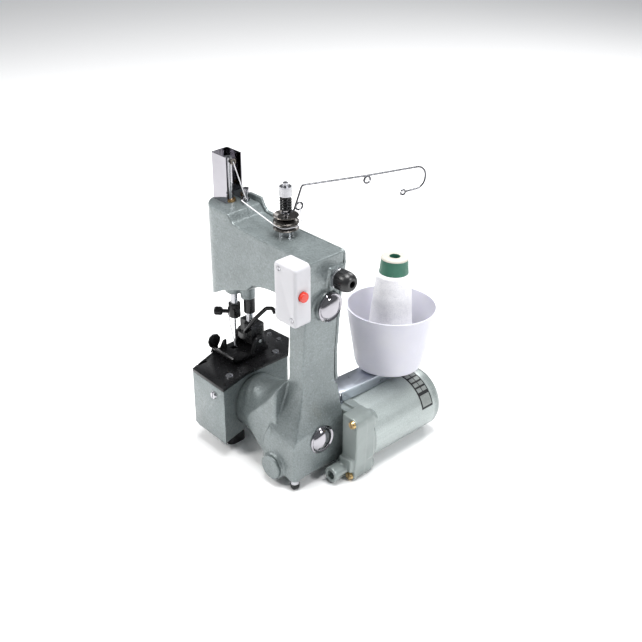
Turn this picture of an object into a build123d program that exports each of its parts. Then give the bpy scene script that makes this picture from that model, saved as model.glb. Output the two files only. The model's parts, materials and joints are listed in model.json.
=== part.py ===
from build123d import *
import math
import os

os.makedirs("parts", exist_ok=True)

# Portable chain-stitch bag closer sewing machine, in millimetres.
# +Z is up and the machine stands on z = 0. The arm runs along X from the head (-X) to the belt
# column (+X), the bag is fed along Y, and the motor and thread stand are at the back (+Y).

# Casting
FRONT_Y = 23.0
BACK_Y = 63.0
COVER_BACK = 66.0
WALL = 4.0
HEAD_END_X = -155.0
HEAD_TOP = 244.0
NOSE_R = 21.5
NOSE_X = HEAD_END_X + NOSE_R
NOSE_Y = FRONT_Y + NOSE_R
BASE_LOW = 12.0

# Shafts, all running in bushings with a 0.04 mm radial fit
FIT = 0.04
GAP = 0.3
SHAFT_R = 5.0
UPPER_Y, UPPER_Z = 46.0, 184.0
LOWER_Y, LOWER_Z = 36.0, 46.0
PULLEY_R = 10.0
BELT_THICK = 1.6
BELT_X0, BELT_X1 = -23.8, -15.8

# Needle drive, a crank and rod above the upper shaft
NEEDLE_X, NEEDLE_Y = -137.0, 46.0
BAR_R = 3.6
CLAMP_R = 6.0
CRANK_R = 12.0
ROD_LENGTH = 24.0
STUD_Z = UPPER_Z + 24.0
STUD_R = 2.4
DISC_X0, DISC_X1 = -116.5, -111.5
ROD_X0, ROD_X1 = -120.5, -117.5

# Presser bar
PRESSER_X, PRESSER_Y = -127.0, 57.0
PRESSER_R = 3.6
HOLDER_PIN_Z = 97.0

# Bed
PLATE_TOP = 80.0
LOOPER_Y, LOOPER_Z = 66.0, 40.0
PLATE_LOW = 77.0
BED_LOW = 16.0
BED_CORNERS = [
    (-139.0, -8.0),
    (-88.0, -10.0),
    (-96.5, 27.5),
    (-96.0, 80.0),
    (-119.0, 101.5),
    (-147.5, 100.0),
    (-151.5, 30.0),
]

# Motor and reduction
MOTOR_X, MOTOR_Z = -7.0, 32.0
MOTOR_R = 32.0
WORM_X, WORM_Z = -28.5, 18.0
WORM_R = 8.7
WHEEL_R = LOWER_Z - WORM_Z - WORM_R - 0.5
GEAR_R = 13.4
PINION_R = math.hypot(MOTOR_X - WORM_X, MOTOR_Z - WORM_Z) - GEAR_R - 0.5
FLANGE_Y0, FLANGE_Y1 = 66.0, 74.0
MOTOR_Y0, MOTOR_Y1, TAIL_Y = 85.0, 168.0, 180.0

# Thread stand, leaning slightly backwards
STAND_X, STAND_Y, STAND_Z = -22.0, 147.0, 76.0
LEAN = 2.5
CUP_H, CUP_FOOT_R, CUP_RIM_R = 65.0, 34.0, 44.5
SHEET = 1.5

# Thread tension post
POST_X, POST_Y = -58.5, 47.0
WIRE_R = 0.9
THREAD_R = 0.5

# The middle of the footprint becomes the origin
MIDDLE_X, MIDDLE_Y = -63.3, 91.45

made = {}


def keep(node, *shapes):
    """Collects the solids of one named piece."""
    made[node] = [solid for shape in shapes for solid in shape.solids()]


def block(x0, x1, y0, y1, z0, z1):
    return Solid.make_box(x1 - x0, y1 - y0, z1 - z0, Plane((x0, y0, z0)))


def rod(start, end, radius, end_radius=None):
    """Round bar, or a frustum, between two points."""
    line = Vector(*end) - Vector(*start)
    plane = Plane(start, z_dir=line)
    if end_radius is None:
        return Solid.make_cylinder(radius, line.length, plane)
    return Solid.make_cone(radius, end_radius, line.length, plane)


def rod_x(x0, x1, y, z, radius, end_radius=None):
    return rod((x0, y, z), (x1, y, z), radius, end_radius)


def rod_y(x, y0, y1, z, radius, end_radius=None):
    return rod((x, y0, z), (x, y1, z), radius, end_radius)


def rod_z(x, y, z0, z1, radius, end_radius=None):
    return rod((x, y, z0), (x, y, z1), radius, end_radius)


def push(points, direction):
    """Polygon pushed along a direction."""
    face = Face(Wire.make_polygon([Vector(*p) for p in points], close=True))
    return Solid.extrude(face, Vector(*direction))


def seen_front(points, y0, y1):
    """Polygon (x, z) with depth along Y."""
    return push([(x, y0, z) for x, z in points], (0, y1 - y0, 0))


def seen_end(points, x0, x1):
    """Polygon (y, z) with width along X."""
    return push([(x0, y, z) for y, z in points], (x1 - x0, 0, 0))


def seen_top(points, z0, z1):
    """Polygon (x, y) with height along Z."""
    return push([(x, y, z0) for x, y in points], (0, 0, z1 - z0))


def curved(place, direction, *runs):
    """Solid from runs of (smooth, points); each run starts where the last one ended."""
    edges = []
    path = []
    for smooth, points in runs:
        path = path[-1:] + [Vector(*place(a, b)) for a, b in points]
        if smooth:
            edges.append(Edge.make_spline(path))
        else:
            edges += [Edge.make_line(a, b) for a, b in zip(path, path[1:])]
    first = Vector(*place(*runs[0][1][0]))
    if (path[-1] - first).length > 1e-6:
        edges.append(Edge.make_line(path[-1], first))
    return Solid.extrude(Face(Wire(edges)), Vector(*direction))


def revolved(profile, centre, direction, smooth=()):
    """Profile (radius, distance) turned about an axis; the run smooth[0]..smooth[1] is one curve."""
    points = [Vector(r, 0, t) for r, t in profile]
    edges = []
    i = 0
    while i < len(points):
        if smooth and i == smooth[0]:
            edges.append(Edge.make_spline(points[smooth[0]:smooth[1] + 1]))
            i = smooth[1]
        else:
            edges.append(Edge.make_line(points[i], points[(i + 1) % len(points)]))
            i += 1
    face = Face(Wire(edges))
    body = Solid.revolve(face, 360, Axis((0, 0, 0), (0, 0, 1)))
    return Plane(centre, z_dir=direction) * body


def bent(points, radius, bend):
    """Round wire of straight runs joined by arcs."""
    path = FilletPolyline(*points, radius=bend)
    section = Face(Wire.make_circle(radius, Plane(path @ 0, z_dir=path % 0)))
    return Solid.sweep(section, path)


def joined(first, *rest):
    for other in rest:
        first = first + other
    return first


def without(first, *rest):
    for other in rest:
        first = first - other
    return first


def ring_x(x0, x1, y, z, outer, inner):
    return without(rod_x(x0, x1, y, z, outer), rod_x(x0 - 1, x1 + 1, y, z, inner))


def ring_y(x, y0, y1, z, outer, inner):
    return without(rod_y(x, y0, y1, z, outer), rod_y(x, y0 - 1, y1 + 1, z, inner))


def ring_z(x, y, z0, z1, outer, inner):
    return without(rod_z(x, y, z0, z1, outer), rod_z(x, y, z0 - 1, z1 + 1, inner))


def screw(head, into, radius, shank_r, head_h=1.6, length=9.0, slot=0.9):
    """Slotted pan screw: the head's seat is at head, the shank goes along into."""
    seat = Vector(*head)
    axis = Vector(*into).normalized()
    top = seat - axis * head_h
    cap = rod(tuple(seat), tuple(top), radius, radius * 0.8)
    shank = rod(tuple(seat), tuple(seat + axis * length), shank_r)
    side = Plane(tuple(top), z_dir=axis)
    groove = side * Solid.make_box(radius * 3, slot, head_h, Plane((-radius * 1.5, -slot / 2, -head_h / 2)))
    return without(cap, groove) + shank


def plan_shape(inset, z0, z1, y1):
    """The arm's shape from above: straight sides and a round nose."""
    radius = NOSE_R - inset
    nose = rod_z(NOSE_X, NOSE_Y, z0, z1, radius)
    top = block(NOSE_X, 5, NOSE_Y - radius, NOSE_Y + radius, z0, z1)
    back = block(NOSE_X - radius, 5, NOSE_Y, y1, z0, z1)
    straight = joined(nose, top)
    return straight & block(-200, 5, 0, y1, z0, z1) if inset == 0 else joined(straight, back)


HEAD_OUTLINE = [
    (-155.0, HEAD_TOP),
    (-155.0, 147.0),
    (-144.0, 149.4),
    (-126.0, 160.0),
    (-106.0, 167.6),
    (-94.0, 172.6),
    (-94.0, 235.2),
    (-106.0, 237.0),
    (-112.5, HEAD_TOP),
]
END_FACE = [(-0.4, 222), (-1.8, 210), (-4.9, 190), (-7.4, 165), (-10.2, 130), (-10.6, 103), (-8.2, 84), (-4.2, 68), (0, 56)]
INNER_SIDE = [(-29.5, 165), (-29.6, 140), (-30.6, 110), (-33.6, 72), (-40, 54), (-46, 32)]
FRONT_PROFILE = [(FRONT_Y, 112), (22, 100), (17.5, 84), (10.5, 69), (4, 57), (1, 45)]


def column():
    """Belt column flaring into the gear housing at its foot."""
    front = curved(
        lambda x, z: (x, 0, z), (0, BACK_Y, 0),
        (False, [(0, 234), (-31, 234), (-29.5, 165)]),
        (True, INNER_SIDE[1:]),
        (False, [(-46, BASE_LOW), (0, BASE_LOW), (0, 56)]),
        (True, END_FACE[-2::-1]),
    )
    side = curved(
        lambda y, z: (-60, y, z), (80, 0, 0),
        (False, [(70, 240), (FRONT_Y, 240), (FRONT_Y, 112)]),
        (True, FRONT_PROFILE[1:]),
        (False, [(1, BASE_LOW), (70, BASE_LOW)]),
    )
    foot = block(-46, 0, 50, COVER_BACK, BASE_LOW, 92)
    foot = foot & curved(
        lambda x, z: (x, 40, z), (0, 40, 0),
        (False, [(-8, 92), (-33, 92), (-33.6, 72)]),
        (True, INNER_SIDE[-2:]),
        (False, [(-46, BASE_LOW), (0, BASE_LOW), (0, 56)]),
        (True, [(-4.2, 68), (-8.2, 84), (-9.4, 92)]),
    )
    return joined(front & side, foot)


def arm():
    """Arm with its lower front edge cut back to a keel."""
    under = [(-94, 172.6), (-88, 174.5), (-80, 182.7), (-66, 186.6), (-49, 189.2), (-36, 188), (-28, 178)]
    keel = [(-94, 172.6), (-88, 173.6), (-80, 173.5), (-66, 173.5), (-49, 173.5), (-36, 173.5), (-28, 173.5)]
    top = [(-28, 234.2), (-94, 235.2)]
    wires = []
    for y, lower in ((FRONT_Y, under), (42.0, keel)):
        wires.append(Wire.make_polygon([Vector(x, y, z) for x, z in lower + top], close=True))
    return joined(Solid.make_loft(wires, ruled=True), seen_front(keel + top, 42, BACK_Y))


def lower_arm():
    """Round lower arm widening towards the column."""
    profile = [(0, -98), (27, -98), (27.8, -85), (32.5, -66), (40, -52), (49, -41), (59, -31), (0, -31)]
    turned = revolved(profile, (0, LOWER_Y, LOWER_Z), (1, 0, 0), smooth=(1, 6))
    return turned & block(-99, -30, 6, BACK_Y, BASE_LOW, 110)


def casting():
    head = seen_front(HEAD_OUTLINE, 20, 66) & plan_shape(0, 100, 260, BACK_Y)
    shell = joined(column(), arm(), head, lower_arm())
    bosses = [
        rod_y(WORM_X, -2, 64, WORM_Z, 13.5),
        rod_x(-12, -0.5, UPPER_Y, UPPER_Z, 14.4),
        rod_z(NEEDLE_X, NEEDLE_Y, 147.5, 160, 8.5),
        rod_z(PRESSER_X, PRESSER_Y - 1.5, 141, 165, 7.5),
        block(-6, 1.5, 45, 63, 200, 222),
        rod_z(-6, 7, 10, 14, 5.5),
    ]
    shell = joined(shell, *bosses)
    pockets = [
        seen_front([(-151, 240), (-151, 159), (-143, 159), (-126, 164.2), (-104, 171.7), (-104, 231),
                    (-108, 233), (-113, 240)], 20, 70) & plan_shape(WALL, 100, 260, 70),
        block(-96, -35, 27, 70, 193, 230),
        block(-96, -35, 39.5, 70, 178, 230),
        block(-26, -14, 27, 70, 100, 230),
        block(-26, -14, 24, 70, 60, 105),
        block(-42, -13, 16.5, 70, 18, 66),
        rod_y(WORM_X, -3, 70, WORM_Z, 9.7),
        rod_x(-99, -41, LOWER_Y, LOWER_Z, 12),
        rod_x(-14, 1, LOWER_Y, LOWER_Z, 9),
        rod_x(-15, 1, UPPER_Y, UPPER_Z, 9),
        rod_x(-105, -95, UPPER_Y, UPPER_Z, 9),
        rod_x(-36, -25, UPPER_Y, UPPER_Z, 7),
        rod_x(-7, 3, 54, 211, 5.2),
        block(-15, -5, 50, 58, 207, 215),
    ]
    shell = without(shell, *pockets)
    collars = [
        rod_z(NEEDLE_X, NEEDLE_Y, 230, 241, 9),
        rod_z(PRESSER_X, PRESSER_Y, 238, 241, 5),
    ]
    collars = [collar & block(-160, -100, 27, 62.5, 220, 245) for collar in collars]
    shell = joined(shell, *collars)
    bores = [
        rod_z(NEEDLE_X, NEEDLE_Y, 140, 175, 5.5),
        rod_z(NEEDLE_X, NEEDLE_Y, 225, 250, 5.5),
        rod_z(PRESSER_X, PRESSER_Y, 120, 175, 5.8),
        rod_z(PRESSER_X, PRESSER_Y, 235, 250, 3.4),
        rod_z(POST_X, POST_Y, 225, 240, 2.5),
        rod_z(-6, 7, 8, 20, 2.0),
        rod_z(-120.8, 50.6, 239, 246, WIRE_R),
        rod_z(-146, 59.8, 239, 246, 1.0),
    ]
    return without(shell, *bores)


keep("body_casting", casting())


def rear_cover():
    """Flat cover on the back of the arm and column, with a hump behind the head."""
    hump = [(-94, 237.5), (-104.4, 238.5), (-108.6, 242), (-112.6, 249), (-130, 249), (-133.5, 246)]
    outline = [(0, 222), (-1, 232), (-4, 234), (-60, 234)] + hump
    outline += [(-155, 244)] + HEAD_OUTLINE[1:6] + [(-88, 174), (-34, 173.5), (-30, 165), (-30.6, 96), (-9.5, 96)]
    outline += [(-10.5, 125), (-7.6, 160), (-4.9, 190)]
    plate = seen_front(outline, BACK_Y, COVER_BACK)
    return plate & plan_shape(0, 90, 260, COVER_BACK)


COVER_SCREWS = [(-138, 236), (-136, 162), (-99, 226), (-70, 226), (-38, 182), (-20, 228), (-28, 120)]
cover = rear_cover()
for x, z in COVER_SCREWS:
    cover = cover - rod_y(x, 60, 70, z, 2.0)
keep("rear_cover", cover)
for x, z in COVER_SCREWS:
    made["body_casting"] = (Compound(made["body_casting"]) - rod_y(x, 54, 64, z, 2.0)).solids()
screws = [screw((x, COVER_BACK, z), (0, -1, 0), 3.6, 2.0, 1.8, 11) for x, z in COVER_SCREWS]


def bed_outline(inset, z0, z1):
    wire = Wire.make_polygon([Vector(x, y, z0) for x, y in BED_CORNERS], close=True)
    if inset:
        wire = wire.offset_2d(-inset, kind=Kind.INTERSECTION)
    return Solid.extrude(Face(wire), Vector(0, 0, z1 - z0))


def bed():
    """Box under the throat plate, on the end of the lower arm."""
    box = bed_outline(1.2, BED_LOW, PLATE_LOW)
    box = box & seen_front([(-160, 80), (-160, 28), (-146, BED_LOW), (-80, BED_LOW), (-80, 80)], -20, 110)
    hollow = bed_outline(3.7, BED_LOW + 3, PLATE_LOW + 1)
    bosses = [rod_z(x, y, 60, PLATE_LOW, 5.5) for x, y, r in PLATE_SCREWS]
    bosses += [block(-105, -94, 8, 12.5, 60, PLATE_LOW), block(-108, -97, 71, 75, 60, PLATE_LOW)]
    trimmed = [boss & bed_outline(2, 50, PLATE_LOW) for boss in bosses]
    shell = joined(without(box, hollow), *trimmed)
    shell = without(shell, lower_arm(), rod_x(-106, -90, LOWER_Y, LOWER_Z, 9), block(-135, -100, -20, -4, 24, 70))
    shell = without(shell, rod_x(-152, -92, LOOPER_Y, LOOPER_Z, 3 + FIT))
    return without(shell, *[rod_z(x, y, 66, 80, 2.0) for x, y, r in PLATE_SCREWS])


PLATE_SCREWS = [(-104.0, 10.4, 4.2), (-107.6, 73.0, 4.2), (-124.5, 92.0, 2.8), (-139.5, 92.0, 2.8)]
keep("bed_casting", bed())


def throat_plate():
    plate = bed_outline(0, PLATE_LOW, PLATE_TOP)
    needle_hole = rod_z(NEEDLE_X, NEEDLE_Y, 70, 90, 3.0)
    holes = [rod_z(x, y, PLATE_LOW - 1, PLATE_TOP + 1, r + 0.05) for x, y, r in PLATE_SCREWS]
    slots = [block(x0 - 0.6, x1 + 0.6, DOG_Y0 - 3.2, DOG_Y1 + 3.2, 70, 90) for x0, x1 in DOG_BARS]
    slots.append(block(-142, -139, 0, 11, 70, 90))
    return without(plate, needle_hole, *holes, *slots)


DOG_Y0, DOG_Y1 = 38.0, 58.0
DOG_BARS = [(-145.4, -141.2), (-132.8, -128.6)]
FEED_TRAVEL = 2.5
keep("throat_plate", throat_plate())
screws += [screw((x, y, PLATE_TOP - 1), (0, 0, -1), r, 2.0, 1.8, 13) for x, y, r in PLATE_SCREWS]


def bed_front_cover():
    """Flat cover on the front of the bed, with a cut lower corner."""
    wire = [(-139.0, -8.0), (-88.0, -10.0), (-88.0, -8.85), (-139.0, -6.85)]
    plate = seen_top(wire, BED_LOW, PLATE_LOW - 0.4)
    outline = [(-160, 80), (-160, 26), (-134, BED_LOW), (-80, BED_LOW), (-80, 80)]
    plate = plate & seen_front(outline, -20, 0)
    return without(plate, rod_y(-104, -12, 0, 66, 2.0))


keep("bed_front_cover", bed_front_cover())
screws.append(screw((-104, -9.55, 66), (0, 1, 0), 4.0, 2.0, 1.8, 9))
made["bed_casting"] = (Compound(made["bed_casting"]) - rod_y(-104, -12, 2, 66, 2.0)).solids()

pad = block(-139, -101, 6, 27, 0, BED_LOW)
screws += [rod_z(-6, 7, 3, 18, 2.0), ring_z(-6, 7, 6.3, 10, 4.2, 2.0)]
rubber = revolved([(0, 0), (2.6, 0.3), (4.2, 1.8), (4.6, 4.2), (4.6, 6.2), (0, 6.2)], (-6, 7, 0), (0, 0, 1))
keep("rubber_feet", fillet(pad.edges().filter_by(Axis.Z), 6), rubber - rod_z(-6, 7, 3, 8, 2.0))


def end_cap(y, z):
    """Pressed chrome cap: a rim, a groove and a dome, with a spigot in the shaft bore."""
    profile = [(0, -2.5), (8.9, -2.5), (8.9, 0), (14.2, 0), (14.2, 1.2), (13.2, 2.0), (11.6, 1.2)]
    profile += [(10.4, 2.4), (8.4, 3.6), (5.6, 4.5), (2.8, 5.0), (0, 5.2)]
    return revolved(profile, (0, y, z), (1, 0, 0), smooth=(6, 11))


keep("shaft_end_caps", end_cap(UPPER_Y, UPPER_Z), end_cap(LOWER_Y, LOWER_Z))
keep("gear_housing_cap", revolved([(0, 4), (9.6, 4), (9.6, 0), (12.4, 0), (12.4, -2), (11.8, -2.8), (0, -2.8)],
                                  (WORM_X, -2, WORM_Z), (0, 1, 0)))


# Shafts, bushings, belt
keep("shaft_bushings", *[
    ring_x(-7.5, -2.6, LOWER_Y, LOWER_Z, 9, SHAFT_R + FIT),
    ring_x(-105.5, -99.2, LOWER_Y, LOWER_Z, 9, SHAFT_R + FIT),
    ring_x(-13.5, -7.5, UPPER_Y, UPPER_Z, 9, SHAFT_R + FIT),
    ring_x(-104, -96, UPPER_Y, UPPER_Z, 9, SHAFT_R + FIT),
    ring_y(WORM_X, 3, 10, WORM_Z, 9.7, SHAFT_R + FIT),
    ring_y(WORM_X, 52, 62, WORM_Z, 9.7, SHAFT_R + FIT),
    ring_y(MOTOR_X, MOTOR_Y1 + 2, MOTOR_Y1 + 8, MOTOR_Z, 12, 4 + FIT),
    ring_z(NEEDLE_X, NEEDLE_Y, 147.2, 170, 5.5, BAR_R + FIT),
    ring_z(NEEDLE_X, NEEDLE_Y, 229, 245.5, 5.5, BAR_R + FIT),
])


def crankshaft():
    """Upper shaft with its crank disc and counterweight."""
    disc = joined(
        rod_x(DISC_X0, DISC_X1, UPPER_Y, UPPER_Z, 9),
        rod_x(DISC_X0, DISC_X1, UPPER_Y, UPPER_Z, 14) & block(-130, -100, 47, 80, 160, 210),
    )
    return joined(disc, rod_x(DISC_X1, -6, UPPER_Y, UPPER_Z, SHAFT_R))


keep("upper_shaft", crankshaft())
lower = rod_x(-112, -5, LOWER_Y, LOWER_Z, SHAFT_R)
keep("lower_shaft", joined(lower, rod_x(-112, -106.3, LOWER_Y, LOWER_Z + 1.5, 8)))


def pulley(y, z):
    """Belt pulley with a flange on each side."""
    tube = joined(
        rod_x(BELT_X0 - 0.3, BELT_X1 + 0.3, y, z, PULLEY_R),
        rod_x(BELT_X0 - 1.5, BELT_X0 - 0.3, y, z, PULLEY_R + 2.6),
        rod_x(BELT_X1 + 0.3, BELT_X1 + 1.5, y, z, PULLEY_R + 2.6),
    )
    return tube - rod_x(-40, 0, y, z, SHAFT_R)


keep("upper_pulley", pulley(UPPER_Y, UPPER_Z))


def belt_loop(radius):
    span = Vector(0, UPPER_Y - LOWER_Y, UPPER_Z - LOWER_Z).normalized() * radius
    side = (span.Z, -span.Y)
    corners = [
        (LOWER_Y + side[0], LOWER_Z + side[1]),
        (UPPER_Y + side[0], UPPER_Z + side[1]),
        (UPPER_Y - side[0], UPPER_Z - side[1]),
        (LOWER_Y - side[0], LOWER_Z - side[1]),
    ]
    ends = [rod_x(BELT_X0, BELT_X1, y, z, radius) for y, z in ((UPPER_Y, UPPER_Z), (LOWER_Y, LOWER_Z))]
    return joined(seen_end(corners, BELT_X0, BELT_X1), *ends)


keep("timing_belt", belt_loop(PULLEY_R + 0.05 + BELT_THICK) - belt_loop(PULLEY_R + 0.05))

wheel = joined(rod_x(-31, -26, LOWER_Y, LOWER_Z, WHEEL_R), rod_x(-34, -25.7, LOWER_Y, LOWER_Z, 9))
keep("lower_shaft_wheels", pulley(LOWER_Y, LOWER_Z), wheel - rod_x(-40, 0, LOWER_Y, LOWER_Z, SHAFT_R))
worm = [rod_y(WORM_X, y, y + 2.2, WORM_Z, WORM_R) for y in range(26, 46, 4)]
worm_bar = joined(rod_y(WORM_X, 2.6, 81, WORM_Z, SHAFT_R), rod_y(WORM_X, 24, 48, WORM_Z, 6.4), *worm)
keep("worm_shaft", joined(worm_bar, rod_y(WORM_X, 70.6, 80.4, WORM_Z, GEAR_R)))


# Needle drive
CRANK_SIN = (ROD_LENGTH ** 2 - CRANK_R ** 2 - (STUD_Z - UPPER_Z) ** 2) / (2 * CRANK_R * (STUD_Z - UPPER_Z))
CRANK_Z = UPPER_Z - CRANK_R * CRANK_SIN
CRANK_Y = UPPER_Y + CRANK_R * math.sqrt(1 - CRANK_SIN ** 2)
rod_line = Vector(0, CRANK_Y - NEEDLE_Y, CRANK_Z - STUD_Z).normalized()
rod_side = Vector(0, rod_line.Z, -rod_line.Y) * 2.2
shank = [(NEEDLE_Y + s * rod_side.Y, STUD_Z + s * rod_side.Z) for s in (1, -1)]
shank += [(CRANK_Y + s * rod_side.Y, CRANK_Z + s * rod_side.Z) for s in (-1, 1)]
link = joined(
    rod_x(ROD_X0, ROD_X1, NEEDLE_Y, STUD_Z, 4.6),
    rod_x(ROD_X0, ROD_X1, CRANK_Y, CRANK_Z, 4.0),
    seen_end(shank, ROD_X0, ROD_X1),
    rod_x(ROD_X1, DISC_X0 - GAP, CRANK_Y, CRANK_Z, 2.4),
)
keep("connecting_rod", link - rod_x(-130, -110, NEEDLE_Y, STUD_Z, STUD_R + FIT))

needle_bar = rod_z(NEEDLE_X, NEEDLE_Y, 118, 287, BAR_R)
needle_bar = without(needle_bar, rod_z(NEEDLE_X, NEEDLE_Y, 278, 290, 1.3), rod_z(NEEDLE_X, NEEDLE_Y, 110, 121, 1.1))
keep("needle_bar", needle_bar)
carrier = block(-142, -130.8, 40.5, 51.5, STUD_Z - 5, STUD_Z + 5)
carrier = fillet(carrier.edges().filter_by(Axis.Z), 1.5)
carrier = joined(carrier, rod_x(-131, ROD_X1 + 0.6, NEEDLE_Y, STUD_Z, STUD_R))
keep("needle_bar_carrier", carrier - rod_z(NEEDLE_X, NEEDLE_Y, 190, 215, BAR_R))
clamp = joined(rod_z(NEEDLE_X, NEEDLE_Y, 120, 134, CLAMP_R), block(-141, -131, 40.5, 47.5, 121, 130))
clamp = without(clamp, rod_z(NEEDLE_X, NEEDLE_Y, 110, 140, BAR_R))
keep("needle_clamp", clamp - rod_z(NEEDLE_X, NEEDLE_Y, 110, 121.5, 1.1))
thumb = rod((-139.5, 42.5, 125), (-149, 34, 125), 2.0)
grip_points = [(0, 0), (3.4, 0), (4.4, 1.5), (4.4, 7), (3.6, 8.2), (0, 8.2)]
grip = revolved(grip_points, (-145.2, 37.3, 125), (-9.5, -8.5, 0))
thumb = joined(thumb, grip)
thumb = without(thumb, rod_z(NEEDLE_X, NEEDLE_Y, 110, 140, CLAMP_R), block(-141, -131, 40.5, 47.5, 121, 130))
keep("needle_thumb_screw", thumb)
needle = joined(rod_z(NEEDLE_X, NEEDLE_Y, 100, 121, 1.1), rod_z(NEEDLE_X, NEEDLE_Y, 82, 100, 0.85))
needle = joined(needle, rod_z(NEEDLE_X, NEEDLE_Y, 78, 82, 0.15, 0.85))
keep("needle", needle - block(-138, -136, 45.6, 46.4, 84, 86.5))
eye = joined(
    rod_x(-134, -130.6, 46, 284, 2.3),
    without(ring_x(-130.6, -129.4, 46, 284, 3.0, 1.2)),
)
keep("needle_bar_eye", eye - rod_z(NEEDLE_X, NEEDLE_Y, 270, 290, BAR_R))


# Presser bar
presser_bar = joined(rod_z(PRESSER_X, PRESSER_Y, 99.5, 206, PRESSER_R), rod_z(PRESSER_X, PRESSER_Y, 196, 199.5, 5.4))
keep("presser_bar", presser_bar)
keep("presser_bushing", ring_z(PRESSER_X, PRESSER_Y, 124.7, 172, 5.8, PRESSER_R + FIT))
cap = joined(rod_z(PRESSER_X, PRESSER_Y, 236, 256, 3.4), rod_z(PRESSER_X, PRESSER_Y, HEAD_TOP, 246.5, 3.9))
keep("presser_screw", cap - block(-132, -122, 56.5, 57.5, 254.5, 257))


def coil(x, y, z0, z1, radius, wire, turns):
    path = Edge.make_helix((z1 - z0 - 2 * wire) / turns, z1 - z0 - 2 * wire, radius, (x, y, z0 + wire))
    section = Face(Wire.make_circle(wire, Plane(path @ 0, z_dir=path % 0)))
    return Solid.sweep(section, path, is_frenet=True)


keep("presser_spring", coil(PRESSER_X, PRESSER_Y, 199.7, 235.8, 4.7, 0.6, 8))


def presser_block():
    return fillet(block(-138.6, -117, 50.5, 66.5, 91, 114).edges().filter_by(Axis.X), 2.5)


holder = presser_block()
holder = without(holder, rod_z(PRESSER_X, PRESSER_Y, 99.5, 120, PRESSER_R), rod_x(-150, -100, 57, HOLDER_PIN_Z, 1.9),
                 block(-140, -129.5, 50, 53.7, 99.5, 120))
keep("presser_holder", holder)
keep("presser_pin", rod_x(-144.2, -111.8, 57, HOLDER_PIN_Z, 1.9))


def presser_foot():
    """Sole with an open needle slot, turned-up toe and two ears on the hinge pin."""
    sole = seen_end([(27, 81.3), (68, 81.3), (68, 84.3), (30, 84.3), (25, 88.5), (23.5, 87), (25.5, 82.6)], -147, -115)
    sole = sole - block(-139.5, -134.5, 40, 50, 70, 95)
    ears = [
        seen_end([(47, 83), (68, 83), (63, 99), (60, 102), (55, 102), (52, 99)], x0, x1)
        for x0, x1 in ((-143.0, -139.2), (-116.4, -113.0))
    ]
    foot = joined(sole, *ears, block(-143, -113, 62, 67.9, 83, 88.5))
    toe = seen_front([(-147, 84), (-139.8, 84), (-139.8, 95), (-141.5, 95)], 33, 36.5)
    foot = joined(foot, toe)
    return foot - rod_x(-150, -100, 57, HOLDER_PIN_Z, 1.9 + FIT)


keep("presser_foot", presser_foot())
lever_points = [(-125, 53, 106), (-123, 47, 106.5), (-116, 46.5, 115), (-108, 50, 128), (-100, 56, 139),
                (-91.5, 57, 142), (-88, 57, 137.5)]
keep("lift_finger", bent(lever_points, 2.0, 2.6) - presser_block())

# Under the plate
dog = joined(*[block(x0, x1, DOG_Y0, DOG_Y1, 71.5, PLATE_TOP - 0.2) for x0, x1 in DOG_BARS])
for x0, x1 in DOG_BARS:
    for i in range(9):
        y = DOG_Y0 + 1 + i * 2.2
        dog = joined(dog, seen_end([(y, 79), (y + 1.9, 79), (y + 1.9, PLATE_TOP + 0.8)], x0, x1))
feed = joined(
    dog,
    block(-145.4, -128.6, 31, 38.5, 71.5, 76),
    block(-134.6, -129, 31, 37.5, 60, 72),
    block(-134.6, -108, 31, 41, 58.5, 64),
    block(-112, -107, 20.7, 51.3, 58.5, 64),
    block(-112, -107, 20.7, 23.6, 40, 60),
    block(-112, -107, 48.4, 51.3, 40, 60),
)
keep("feed_dog", feed)
looper = joined(
    rod_x(-139, -130, LOOPER_Y, LOOPER_Z, 7),
    rod_x(-149.2, -98, LOOPER_Y, LOOPER_Z, 3),
    seen_end([(62, 44), (69, 44), (66.5, 71), (64, 74.8), (52, 74.6), (50.5, 73.4), (60, 71.8)], -135.8, -134.6),
)
keep("looper", looper)
keep("bag_guide", seen_end([(24, 80), (34, 80), (33, 84.5), (36, 89), (36.5, 93.5), (33.5, 98), (28, 99.5), (23.5, 97.5),
                            (21.5, 92.5), (23, 87), (26, 84)], -151.4, -149.8))


# Switch on the column's front
SWITCH_SCREWS = [(-21.0, 228.5), (-5.0, 183.5)]
BUTTON_Y, BUTTON_Z = 13.5, 206.0


def switch_cover():
    box = block(-28.5, 0, 5, 22.98, 175.5, 234.2)
    box = fillet(box.edges().filter_by(Axis.Y), 4.5)
    box = fillet(box.faces().sort_by(Axis.Y)[0].edges(), 3)
    hollow = fillet(block(-26.5, -2, 7, 25, 177.5, 232.2).edges().filter_by(Axis.Y), 2.5)
    posts = [rod_y(x, 6, 14, z, 3.0) for x, z in SWITCH_SCREWS]
    shell = joined(without(box, hollow), *posts)
    shell = without(shell, *[rod_y(x, 4, 20, z, 1.3) for x, z in SWITCH_SCREWS])
    shell = without(shell, *[rod_y(x, 4, 5.9, z, 2.6) for x, z in SWITCH_SCREWS])
    return shell - rod_x(-4, 2, BUTTON_Y, BUTTON_Z, 5.0)


def switch_inside():
    """Mounting plate with the switch block and the threaded posts."""
    plate = fillet(block(-26.3, -2.2, 20.5, 22.98, 177.7, 232.0).edges().filter_by(Axis.Y), 2.4)
    plate = joined(plate, block(-22.5, -11, 8, 21, 194, 218), *[rod_y(x, 14.2, 21, z, 2.6) for x, z in SWITCH_SCREWS])
    return without(plate, *[rod_y(x, 10, 25, z, 1.3) for x, z in SWITCH_SCREWS])


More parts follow.
